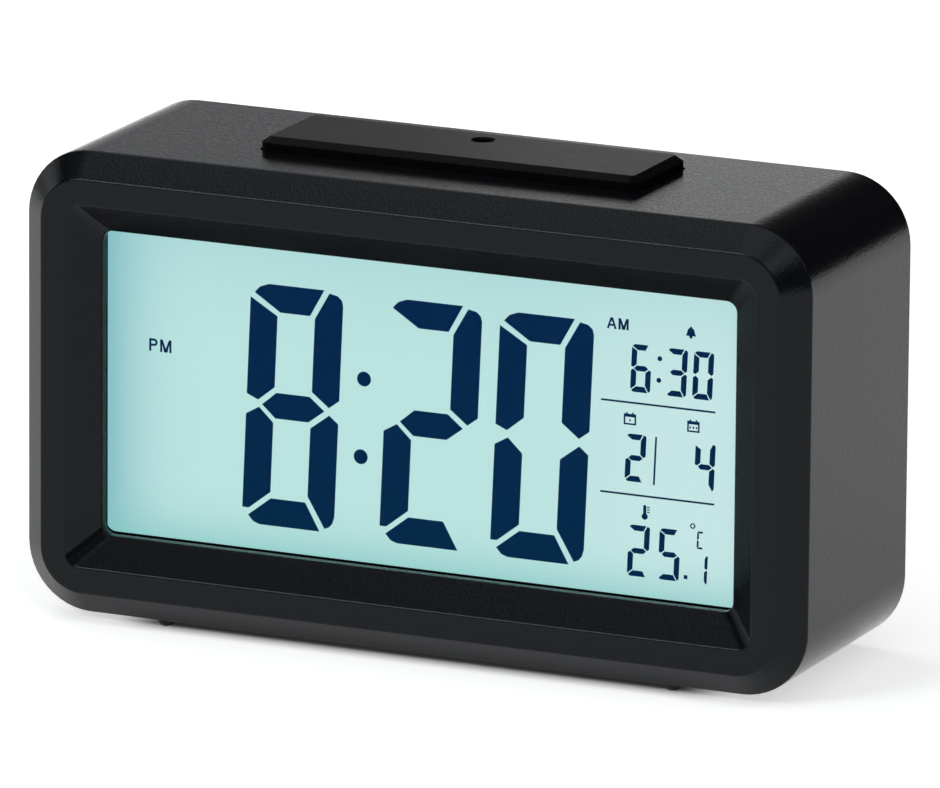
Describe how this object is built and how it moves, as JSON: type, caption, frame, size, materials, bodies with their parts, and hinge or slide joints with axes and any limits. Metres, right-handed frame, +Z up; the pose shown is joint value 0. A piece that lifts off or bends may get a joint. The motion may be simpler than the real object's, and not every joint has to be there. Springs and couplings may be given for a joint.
{
  "type": "digital alarm clock",
  "caption": "Bar-shaped bedside clock with a wide segment display in a deep sloped frame, a long press bar on top, small feet, and a rear with buttons, switches and a battery door.",
  "frame": {"origin": "on the table plane under the middle of the housing", "axes": "+X to the right seen from the front, the display faces -Y, +Z up"},
  "size_m": [0.135, 0.0436, 0.079],
  "materials": {
    "housing": "fine satin texture",
    "rear_shell": "fine satin texture",
    "door_shell": "fine satin texture",
    "bar": "smooth satin",
    "buttons": "smooth satin",
    "knobs": "smooth satin",
    "window_clear": "clear, polished",
    "sensor_clear": "clear, frosted inside",
    "foam": "matte foam",
    "polariser": "smooth film",
    "display_glass": "polished",
    "segments": "flat printed layer",
    "light_guide_clear": "clear with a dotted back",
    "white_film": "white, diffuse",
    "white_plastic": "smooth",
    "conductive_rubber": "matte, striped",
    "circuit_board": "solder resist",
    "epoxy": "glossy drop",
    "component_metal": "plain",
    "contact_metal": "nickel plated",
    "screw_metal": "zinc plated",
    "cell_case": "printed sleeve",
    "wire_sleeve": "smooth",
    "thin_wire_sleeve": "smooth",
    "ribbon_film": "flat flexible cable",
    "sensor_ceramic": "glazed face",
    "feet": "soft rubber"
  },
  "bodies": {
    "clock": {"front_housing": "housing", "rear_cover": "rear_shell", "display_window": "window_clear", "window_gasket": "foam", "lcd_front_polariser": "polariser", "lcd_front_glass": "display_glass", "lcd_segments": "segments", "lcd_rear_glass": "display_glass", "lcd_rear_polariser": "polariser", "light_guide": "light_guide_clear", "reflector_film": "white_film", "backlight_leds": "white_plastic", "lcd_frame": "white_plastic", "zebra_strip": "conductive_rubber", "main_board": "circuit_board", "controller_chip": "epoxy", "crystal": "component_metal", "capacitors": "component_metal", "ribbon_headers": "white_plastic", "key_board": "circuit_board", "tact_switches": "component_metal", "slide_switch_bodies": "component_metal", "snooze_board": "circuit_board", "snooze_switches": "component_metal", "snooze_springs": "contact_metal", "light_sensor": "sensor_ceramic", "temp_sensor": "epoxy", "buzzer": "epoxy", "aaa_cell_1": "cell_case", "aaa_cell_2": "cell_case", "aaa_cell_3": "cell_case", "bridge_contacts": "contact_metal", "negative_contact": "contact_metal", "positive_contact": "contact_metal", "battery_wires": "wire_sleeve", "buzzer_wires": "thin_wire_sleeve", "key_ribbon": "ribbon_film", "snooze_ribbon": "ribbon_film", "housing_screws": "screw_metal", "frame_screws": "screw_metal", "board_screws": "screw_metal", "rubber_feet": "feet"},
    "snooze": {"snooze_bar": "bar", "sensor_window": "sensor_clear", "snooze_plungers": "white_plastic"},
    "door": {"battery_door": "door_shell"},
    "time_set": {"time_set_button": "buttons", "time_set_plunger": "white_plastic"},
    "alarm_set": {"alarm_set_button": "buttons", "alarm_set_plunger": "white_plastic"},
    "up": {"up_button": "buttons", "up_plunger": "white_plastic"},
    "down": {"down_button": "buttons", "down_plunger": "white_plastic"},
    "temp_unit": {"temp_unit_button": "buttons", "temp_unit_plunger": "white_plastic"},
    "alarm_switch": {"alarm_switch_knob": "knobs"},
    "light_switch": {"light_switch_knob": "knobs"}
  },
  "joints": [
    {"name": "snooze_press", "type": "slide", "parent": "clock", "child": "snooze", "axis": [0, 0, -1], "range_m": [0, 0.001], "stiffness_N_per_m": 1500, "springref_m": -0.0008, "deforming": ["snooze_springs"]},
    {"name": "door_tilt", "type": "hinge", "parent": "clock", "child": "door", "pos_m": [0, 0.0196, 0.0071], "axis": [-1, 0, 0], "range_deg": [0, 60]},
    {"name": "time_set_press", "type": "slide", "parent": "clock", "child": "time_set", "axis": [0, -1, 0], "range_m": [0, 0.0005], "stiffness_N_per_m": 2000, "springref_m": -0.0003},
    {"name": "alarm_set_press", "type": "slide", "parent": "clock", "child": "alarm_set", "axis": [0, -1, 0], "range_m": [0, 0.0005], "stiffness_N_per_m": 2000, "springref_m": -0.0003},
    {"name": "up_press", "type": "slide", "parent": "clock", "child": "up", "axis": [0, -1, 0], "range_m": [0, 0.0005], "stiffness_N_per_m": 2000, "springref_m": -0.0003},
    {"name": "down_press", "type": "slide", "parent": "clock", "child": "down", "axis": [0, -1, 0], "range_m": [0, 0.0005], "stiffness_N_per_m": 2000, "springref_m": -0.0003},
    {"name": "temp_unit_press", "type": "slide", "parent": "clock", "child": "temp_unit", "axis": [0, -1, 0], "range_m": [0, 0.0005], "stiffness_N_per_m": 2000, "springref_m": -0.0003},
    {"name": "alarm_switch_slide", "type": "slide", "parent": "clock", "child": "alarm_switch", "axis": [1, 0, 0], "range_m": [0, 0.004]},
    {"name": "light_switch_slide", "type": "slide", "parent": "clock", "child": "light_switch", "axis": [1, 0, 0], "range_m": [0, 0.004]}
  ]
}
